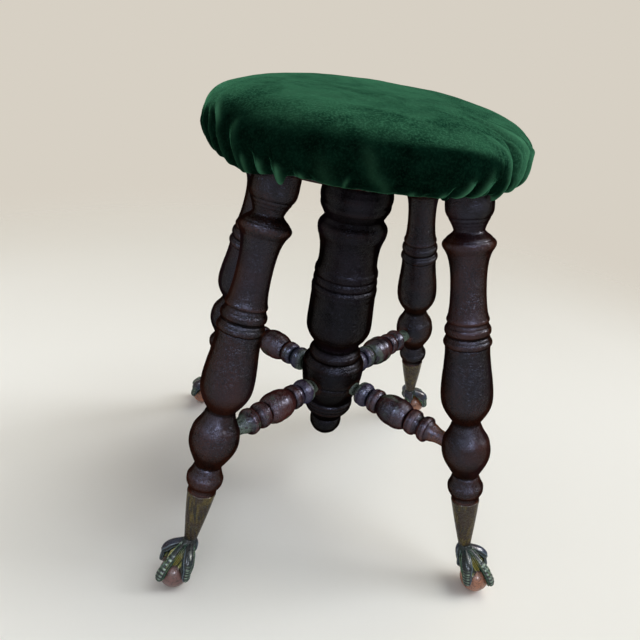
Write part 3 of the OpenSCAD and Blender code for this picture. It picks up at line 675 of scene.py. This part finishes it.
# Creases and folds, each a line over the cover in (degrees from the photograph's side, s), with its height
# and its half width in mm. A line that ends at s = 2 runs out through the hem.
STROKES = [
    # the two long tension creases at the right, and the folds that they end in
    (3.4, LONG_CREASE, ((55, 0.2), (56, 0.36), (58, 0.5), (60, 0.62), (63, 0.74), (64, 0.84), (61, 0.95), (59.5, 1.15),
                        (59, 1.5), (60, 2))),
    (-3.8, 4.2, ((52, 0.26), (55.5, 0.5), (56, 0.66), (55, 0.82), (55.5, 1.0), (55, 1.3), (54.5, 2))),
    (2.4, 3.0, ((33, 0.36), (42.5, 0.54), (47, 0.66), (49.5, 0.78), (50.5, 0.9), (51.5, 1.1), (51.8, 1.4), (50.5, 2))),
    (3.2, 3.0, ((76, 0.74), (72, 0.86), (69, 0.96), (68, 1.2), (67.5, 2))),
    (-3.4, 3.0, ((69, 0.82), (65, 0.98), (63.8, 1.3), (63.5, 2))),
    (2.8, 3.0, ((84, 0.8), (80, 1.0), (77, 1.4), (77, 2))),
    (-3.0, 3.0, ((79, 0.86), (75, 1.05), (72.5, 1.4), (72.3, 2))),
    (3.6, 2.8, ((35.2, 0.9), (34, 1.1), (32.5, 1.4), (31, 2))),
    (-3.8, 2.8, ((31, 1.02), (29.6, 1.3), (28.6, 1.6), (28.2, 2))),
    (-3.0, 3.4, ((39.5, 0.9), (37.2, 1.12), (36, 1.5), (35.2, 2))),
    (4.0, 2.8, ((43, 0.84), (41.2, 1.0), (40, 1.25), (39, 1.6), (38, 2))),
    (-4.4, 4.4, ((48, 0.94), (46.6, 1.15), (45.5, 1.5), (45, 2))),
    (2.0, 2.0, ((44.5, 1.3), (43, 2))),
    (2.4, 2.4, ((26, 1.25), (25.2, 2))),
    (-1.8, 2.6, ((21, 1.4), (20.5, 2))),
    (1.2, 3.0, ((16, 1.3), (15.6, 2))),
    (-1.4, 2.6, ((11, 1.5), (10.6, 2))),
    # fine lines of the pulled velvet beside them
    (2.0, 1.3, ((28, 0.14), (42, 0.3), (51.5, 0.5), (57, 0.7), (58.4, 0.85), (57.6, 1.0), (57, 1.3), (56.6, 2))),
    (2.2, 1.4, ((61, 0.3), (64, 0.5), (68.5, 0.72), (72, 0.88), (73.4, 1.05), (73, 1.4), (72.6, 2))),
    (1.8, 1.2, ((76, 0.45), (80, 0.72), (83, 0.92), (84, 1.1), (83, 1.5), (82.5, 2))),
    (1.6, 1.2, ((38, 0.42), (43.5, 0.58), (46.4, 0.74), (47, 0.9), (46, 1.1))),
    (-1.8, 1.3, ((60, 0.55), (62.6, 0.74), (62.4, 0.92), (61.4, 1.1), (61, 2))),
    # the turn from top to side at the front
    (2.4, 4.6, ((-4, 0.80), (6, 0.79), (16, 0.785), (28, 0.79), (38, 0.785), (45, 0.775))),
    (-1.4, 9.0, ((-2, 0.64), (8, 0.66), (20, 0.66), (34, 0.66))),
    # the soft dent at the front
    (-3.0, 8.0, ((-7, 0.74), (-4.5, 0.9), (-2, 1.1), (1, 1.5), (3, 2))),
    (2.4, 6.0, ((-3, 0.68), (0, 0.82), (3, 0.97), (7, 1.3), (9, 2))),
    (1.8, 8.0, ((-14, 0.78), (-11, 1.0), (-9, 1.5), (-8.6, 2))),
    (1.3, 1.6, ((-2.5, 1.05), (-4, 1.5), (-4.6, 2))),
    # short darts over the front left leg
    (-3.8, 3.0, ((-35, 0.96), (-35.2, 1.4), (-35.5, 2))),
    (-4.0, 3.4, ((-28.4, 0.92), (-28.8, 1.4), (-29.2, 2))),
    (-3.4, 3.0, ((-20.9, 1.02), (-20.6, 1.4), (-20.5, 2))),
    (-2.0, 2.6, ((-14.6, 1.2), (-14.2, 1.6), (-14, 2))),
    (2.4, 3.0, ((-32, 1.08), (-32.2, 2))),
    (2.6, 3.2, ((-25, 1.08), (-25, 2))),
    (1.8, 3.0, ((-17.4, 1.2), (-17.2, 2))),
    (2.2, 2.8, ((-38.6, 1.1), (-39, 2))),
    # the pleats at the left
    (2.8, 3.0, ((-41, 0.72), (-42.2, 0.85), (-42.2, 1.0), (-42, 1.25), (-41.4, 1.6), (-41, 2))),
    (-4.2, 3.4, ((-45, 0.82), (-46.5, 0.98), (-46, 1.3), (-44.6, 2))),
    (3.2, 3.6, ((-68, 0.5), (-63, 0.68), (-56.5, 0.8), (-51.4, 0.92), (-49.8, 1.1), (-49, 1.5), (-48, 2))),
    (-3.6, 2.6, ((-61, 0.78), (-55.6, 0.92), (-53.6, 1.1), (-52.6, 1.5), (-52, 2))),
    (3.0, 2.2, ((-63, 0.82), (-58.6, 0.95), (-56.6, 1.2), (-56, 2))),
    (-3.4, 2.4, ((-67, 0.83), (-62.2, 0.97), (-60.2, 1.2), (-59.6, 2))),
    (2.8, 2.2, ((-70, 0.85), (-65.8, 1.0), (-64, 1.25), (-63.6, 2))),
    (-3.2, 2.4, ((-74, 0.87), (-69.6, 1.0), (-68, 1.3), (-67.6, 2))),
    (2.8, 2.4, ((-78, 0.88), (-74, 1.02), (-72.6, 1.3), (-72, 2))),
    (-2.8, 2.6, ((-83, 0.9), (-79, 1.04), (-77, 1.3), (-77, 2))),
    (2.6, 2.6, ((-87, 0.88), (-83.6, 1.05), (-82.4, 1.4), (-82, 2))),
    # faint folds across the top
    (-0.7, 8.0, ((-80, 0.24), (-62, 0.10), (-2, 0.12), (14, 0.2), (30, 0.32))),
    (0.6, 7.0, ((-104, 0.26), (-130, 0.1), (30, 0.08), (42, 0.2), (46, 0.34))),
    (0.7, 10.0, ((-40, 0.42), (-20, 0.34), (10, 0.36), (24, 0.46))),
]
# The gathers round the back
rng = np.random.default_rng(7)
place = 88.0
sign = 1
while place < 270:
    start = rng.uniform(0.74, 1.15)
    lean = rng.uniform(-5, 5)
    line = ((place + lean, start), (place + 0.4 * lean, 0.5 * start + 0.75), (place, 1.5), (place, 2))
    STROKES.append((sign * rng.uniform(2.0, 3.8), rng.uniform(2.2, 3.8), line))
    place += rng.uniform(3.6, 7.6)
    sign = -sign

# How far the hem lies above its mean height round the seat, and its small hanging tabs
HEM_LINE = [(-180, 0), (-120, -1), (-90, -3), (-76, -5), (-60, -6.5), (-48, -8.5), (-41, -10.5), (-36, -8), (-31, -4),
            (-27, -1), (-21, 0), (-15, 1), (-10, 0.8), (0, 0.2), (15, 0.3), (30, 0.5), (40, 0.3), (48, -0.4), (58, -2),
            (70, -2.5), (84, -1.5), (110, 0.5), (180, 0)]
HEM_TABS = [(-25.4, 1.7, 9.0), (28.4, 1.4, 3.0), (51.5, 1.4, 6.0), (-62, 1.6, 1.6), (-2.5, 2.0, 0.8), (150, 2.4, 2.0),
            (205, 2.2, 1.6)]
TILT = 0.018  # the seat's lean on its old screw: rise of the crown per length, towards the photograph's left

# Where the painted light on the crown turns to the dark, shaded side: degrees, and s where that starts and ends
LIT_CROWN_TURN = [(-180, 0.9, 1.1), (-100, 0.88, 1.05), (-75, 0.86, 1.0), (-62, 0.72, 0.92), (-48, 0.36, 0.88), (-30, 0.34, 0.96),
       (-15, 0.42, 0.82), (0, 0.45, 0.84), (8, 0.52, 0.8), (16, 0.62, 0.775), (30, 0.66, 0.8), (44, 0.74, 0.9),
       (54, 0.86, 1.15), (62, 1.05, 1.6), (84, 1.1, 1.65), (100, 0.95, 1.2), (180, 0.9, 1.1)]


def on_cover(deg, s):
    """Points of the taut cover in mm, level."""
    r, z = seat_profile(s)
    a = np.radians(deg + VIEW)
    return np.stack([r * np.cos(a), r * np.sin(a), z], -1)


def highlight_share(half):
    """How much painted highlight a crest of that half width gets: narrow ones and the long crease fully, the broadest a
    little.
    """
    if half < 3.7 or half == LONG_CREASE:
        return 1.0
    return 0.2 if half > 5.5 else 0.0


def stroke_heights(base, deg, rows):
    """How far all the strokes lift the cover's grid, how much painted highlight their crests get, and how much painted
    shade their valleys get.
    """
    lift = np.zeros(base.shape[:2])
    bright = np.zeros(base.shape[:2])
    valley_shade = np.zeros(base.shape[:2])
    for height, half, line in STROKES:
        line = np.array(line)
        part = np.linspace(0, len(line) - 1, 24 * (len(line) - 1) + 1)
        t = part / part[-1]
        d = np.interp(part, np.arange(len(line)), line[:, 0])
        q = np.interp(part, np.arange(len(line)), line[:, 1])
        out = q[-1] >= 2
        core = on_cover(d, q)
        envelope = smooth(t, 0, 0.45) * (1.0 if out else 1 - smooth(t, 0.6, 1.0))
        wide = half * (1 + (0.9 * (1 - t) if out else 0 * t))
        mask = (rows >= q.min() - 0.25) & (rows <= q.max() + 0.25)
        near = np.abs(turn_gap(deg, d.mean())) < (np.ptp(d) / 2 + 14 if q.min() > 0.45 else 200)
        block = base[np.ix_(mask, near)]
        gap2 = ((block[:, :, None, :] - core[None, None]) ** 2).sum(-1) / wide**2
        k = gap2.argmin(-1)
        body = np.exp(-np.take_along_axis(gap2, k[..., None], -1)[..., 0] ** 0.85) * envelope[k]
        lift[np.ix_(mask, near)] += height * body
        if height > 0:
            # a crest gets a painted highlight
            area = bright[np.ix_(mask, near)]
            bright[np.ix_(mask, near)] = np.maximum(area, body**2.2 * min(1, height / 3.2) * highlight_share(half))
        else:
            # a valley gets painted shade
            valley_shade[np.ix_(mask, near)] = np.maximum(valley_shade[np.ix_(mask, near)], body * min(1, -height / 3.4))
    # the pleats at the left lie in the shade
    left = smooth(-deg, 36, 42) * (1 - smooth(-deg, 88, 100))
    bright *= 1 - 0.85 * left * smooth(rows, 0.84, 1.0)[:, None]
    return lift, bright, valley_shade


def hem_heights(deg):
    """How far the hem lies above its mean height."""
    line = np.array(HEM_LINE)
    hem = np.interp(deg, line[:, 0], line[:, 1]) + 0.5 * ring_noise(deg, 9, 5.3) + 0.5 * ring_noise(deg, 44, 1.7)
    for place, half, drop in HEM_TABS:
        hem -= drop * np.exp(-((turn_gap(deg, place) / half) ** 4))
    return hem


def cover_skin(deg, rows, base, lift):
    """The outer skin: the taut cover with its folds, a slight swell, the uneven hem and the seat's lean."""
    s = rows[:, None]
    flat = base.reshape(-1, 3)
    swell = (hash_noise(flat, 1 / 52.0, 4.0) * 1.3 + hash_noise(flat, 1 / 17.0, 9.0) * 0.35).reshape(lift.shape)
    lift = lift + swell * smooth(s, 0.02, 0.3) * (1 - 0.5 * smooth(s, 1.2, 2))
    lift += smooth(s, 1.25, 1.95) * 0.7 * ring_noise(deg, 95, 8.7)
    lift = np.clip(lift, *LIFT_RANGE) - 1.0 * smooth(s, 1.1, 2.0)
    # the folds rise square to the taut cover, and straight outwards near the hem
    r1, z1 = seat_profile(np.maximum(rows - 1e-3, 0))
    r2, z2 = seat_profile(np.minimum(rows + 1e-3, 2))
    length = np.maximum(np.hypot(r2 - r1, z2 - z1), 1e-9)
    up = ((r2 - r1) / length)[:, None] * (1 - smooth(s, 1.1, 1.75))
    out = np.sqrt(np.maximum(1 - up**2, 0))
    r = np.hypot(base[..., 0], base[..., 1]) + out * lift
    z = base[..., 2] + up * lift + hem_heights(deg) * smooth(s, 1.25, 2.0)
    # the hem stays clear of the elastic, and further out where it hangs over the tops of the legs
    low = smooth(-(z - LOW_HEM_Z), 0, 4.5)
    r = np.where(s > 1, np.maximum(r, HEM_CLEAR_R + 3.2 * (2 - s) + 5.0 * low), r)
    a = np.radians(deg + VIEW)
    x, y = r * np.cos(a), r * np.sin(a)
    side = math.radians(VIEW + 90)
    return np.stack([x, y, z - TILT * (x * math.cos(side) + y * math.sin(side))], -1)


def skin_normals(skin):
    """Unit normals of a skin of rings, outwards."""
    normal = np.cross(np.gradient(skin, axis=0), np.roll(skin, -1, 1) - np.roll(skin, 1, 1))
    normal /= np.maximum(np.linalg.norm(normal, axis=2), 1e-9)[..., None]
    return -normal if (normal[0, :, 2] < 0).mean() > 0.5 else normal


def make_cover():
    deg = np.arange(ROUND) * 360.0 / ROUND
    deg = np.where(deg > 180, deg - 360, deg)
    rows = np.concatenate([np.linspace(0.02, 1, TOP) ** 0.9, 1 + np.linspace(0, 1, SKIRT + 1)[1:]])
    base = np.stack([on_cover(deg, np.full_like(deg, s)) for s in rows])
    lift, bright, valley_shade = stroke_heights(base, deg, rows)
    outer = cover_skin(deg, rows, base, lift)
    # the inner skin lies one thickness of cloth inside, and a rounded edge joins the two at the hem
    normal = skin_normals(outer)
    inner = (outer - normal * CLOTH)[::-1]
    edge = outer[-1] - normal[-1] * CLOTH * 0.5 + np.array([0, 0, -0.55])
    top = outer[0].mean(0) + np.array([0, 0, 0.06])
    o = closed_piece("velvet_cover", np.concatenate([outer, edge[None], inner]), top, inner[-1].mean(0))

    first_inner = len(rows) * ROUND
    top_point = len(o.data.vertices) - 2
    rest = np.zeros(len(o.data.vertices) - first_inner)
    turn = np.array(LIT_CROWN_TURN)
    starts, ends = np.interp(deg, turn[:, 0], turn[:, 1]), np.interp(deg, turn[:, 0], turn[:, 2])
    # the painted light on the crown, dimmed by the painted shade in the folds' valleys
    lit_crown = (1 - smooth((rows[:, None] - starts) / (ends - starts), 0, 1)) * (1 - 0.65 * valley_shade)
    at_top = rest.copy()
    at_top[-2] = lit_crown[0].mean()
    shade = np.exp(-((turn_gap(deg, -68) / 19) ** 2)) * smooth(rows[:, None], 0.92, 1.12)
    point_value(o, "crest_highlight", np.concatenate([bright.ravel(), rest]))
    point_value(o, "lit_crown", np.concatenate([lit_crown.ravel(), at_top]))
    point_value(o, "shade", np.concatenate([shade.ravel(), rest]))
    point_value(o, "hem_edge", np.concatenate([np.repeat(smooth(rows, 1.955, 1.99), ROUND), rest]))
    o.data.materials.append(velvet)
    o.data.materials.append(backing)
    inside = [min(p.vertices) >= first_inner and top_point not in p.vertices for p in o.data.polygons]
    o.data.polygons.foreach_set("material_index", [int(x) for x in inside])
    return o


cover = make_cover()
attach(cover, "seat")
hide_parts("seat_cover")


# ---------------------------------------------------------------- wadding and elastic under the cover
# The wadding lies over the board's upper face and round its edge, down to where the cover turns in
BOARD_R, BOARD_LOW, BOARD_TOP, WADDING_LOW = 163.4, 489.9, 505.2, 480.5
UNDER_COVER = 5.2  # how far the wadding's skin stays inside the taut cover
BAND_R, BAND_LOW, BAND_WIDE, BAND_THICK = 153.9, 474.3, 5, 0.7


def make_wadding():
    count = 240
    deg = np.arange(count) * 360.0 / count
    a = np.radians(deg)
    rings = []
    for s in np.concatenate([np.linspace(0.05, 1, 26), [1.25, 1.5, 1.7]]):
        r, z = seat_profile(np.full_like(deg, s))
        lump = 0.6 * ring_noise(deg, 22, 2.0 + s) * (s > 0.2)
        r = np.where(s > 1, r - 1.0, r) - UNDER_COVER + lump * 0.5
        z = np.where(s <= 1, WIDEST_Z + (z - WIDEST_Z) * (1 - 5.4 / CROWN_H), z)
        lean = TILT * r * np.cos(a - math.radians(VIEW + 90)) * (s < 1.1)
        rings.append(np.stack([r * np.cos(a), r * np.sin(a), np.maximum(z, WADDING_LOW) - lean], -1))
    for r, z in ((BOARD_R, BOARD_LOW), (BOARD_R, BOARD_TOP), (100.0, BOARD_TOP), (2.0, BOARD_TOP)):
        rings.append(np.stack([r * np.cos(a), r * np.sin(a), np.full_like(a, z)], -1))
    o = closed_piece("seat_wadding", np.array(rings), rings[0].mean(0), [0, 0, BOARD_TOP])
    o.data.materials.append(wadding)
    return o


pad = make_wadding()
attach(pad, "seat")
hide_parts("seat_padding")


def make_elastic():
    count = 360
    deg = np.arange(count) * 360.0 / count
    a = np.radians(deg)
    ruffle = 0.35 * ring_noise(deg, 120, 4.4)
    rings = []
    wave = 0.4 * ring_noise(deg, 60, 6.6)
    for dr, dz in ((0, 0), (0, BAND_WIDE), (-BAND_THICK, BAND_WIDE), (-BAND_THICK, 0)):
        r = BAND_R + dr + ruffle
        rings.append(np.stack([r * np.cos(a), r * np.sin(a), BAND_LOW + dz + wave], -1))
    verts = np.concatenate(rings) * MM
    faces = []
    for k in range(4):
        this, after = k * count, (k + 1) % 4 * count
        for j in range(count):
            following = (j + 1) % count
            faces.append((this + j, this + following, after + following, after + j))
    o = mesh_piece("hem_band", verts, faces, False)
    o.data.materials.append(elastic)
    return o


band = make_elastic()
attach(band, "seat")
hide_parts("hem_elastic")

# ---------------------------------------------------------------- floor, light and world
WALL, AMBIENT = (0.679, 0.631, 0.552), 0.37
NEAR_FLOOR, FAR_FLOOR = (0.86, 0.84, 0.8), (0.7, 0.665, 0.605)
FLOOR_FADE = (0.8, 1.5)  # the distances between which the floor fades into the backdrop
FLOOR_HALF = 4
corners = [(x * FLOOR_HALF, y * FLOOR_HALF, 0) for x, y in ((-1, -1), (1, -1), (1, 1), (-1, 1))]
floor = mesh_piece("floor", corners, [(0, 1, 2, 3)], False)
t = Tree("pale_floor")
t.set(Base_Color=t.mix(t.span(t.axis(1), 0.1, 1.0), NEAR_FLOOR, FAR_FLOOR), Roughness=0.9, Specular_IOR_Level=0.1)
clear = t.nodes.new("ShaderNodeBsdfTransparent")
fade = t.nodes.new("ShaderNodeMixShader")
t.put(fade.inputs[0], t.span(t.radius(), *FLOOR_FADE))
t.links.new(t.shader.outputs[0], fade.inputs[1])
t.links.new(clear.outputs[0], fade.inputs[2])
t.links.new(fade.outputs[0], t.nodes["Material Output"].inputs["Surface"])
floor.data.materials.append(t.material)


def sun(name, strength, angle, from_point, colour):
    """A soft far lamp that shines from that point towards the stool."""
    data = bpy.data.lights.new(name, "SUN")
    data.energy = strength
    data.angle = math.radians(angle)
    data.color = colour
    o = bpy.data.objects.new(name, data)
    o.rotation_euler = (-Vector(from_point)).to_track_quat("-Z", "Y").to_euler()
    bpy.context.scene.collection.objects.link(o)
    return o


# Name, strength, angular size in degrees, place, colour
sun("cool_overhead", 1.05, 36, (0.22, -0.02, 0.5), (0.86, 0.95, 1.0))
sun("warm_overhead", 0.6, 40, (0.2, 0.14, 0.5), (1.0, 0.84, 0.56))
sun("right_window", 0.95, 22, (1.0, 0.1, 0.72), (0.92, 0.96, 1.0))
sun("front_window", 0.3, 24, (-0.35, -1.0, 0.62), (0.84, 0.88, 1.0))
# Small lamps that show only as glints on the varnish and the brass
for name, strength, place, colour in (
    ("left_glint", 1.0, (-0.75, -0.6, 0.9), (0.74, 0.84, 1.0)),
    ("front_glint", 1.5, (0.15, -1.0, 0.75), (0.85, 0.88, 1.0)),
    ("right_glint", 2.5, (1.0, 0.0, 0.7), (1.0, 0.93, 0.86)),
):
    sun(name, strength, 11, place, colour).visible_diffuse = False

world = bpy.data.worlds.new("world")
bpy.context.scene.world = world
world.use_nodes = True
wn, wl = world.node_tree.nodes, world.node_tree.links
background = wn["Background"]
# Rays from the camera, and those that gloss and glass send on, see the backdrop's colour
path = wn.new("ShaderNodeLightPath")
either = path.outputs["Is Camera Ray"]
for ray in ("Is Glossy Ray", "Is Transmission Ray"):
    more = wn.new("ShaderNodeMath")
    more.operation = "MAXIMUM"
    wl.new(either, more.inputs[0])
    wl.new(path.outputs[ray], more.inputs[1])
    either = more.outputs[0]
pick = wn.new("ShaderNodeMix")
pick.data_type = "RGBA"
pick.inputs[6].default_value = (AMBIENT, AMBIENT, AMBIENT, 1)
pick.inputs[7].default_value = (*WALL, 1)
wl.new(either, pick.inputs[0])
wl.new(pick.outputs[2], background.inputs["Color"])
background.inputs["Strength"].default_value = 1.0

bpy.context.scene.view_settings.view_transform = "Standard"
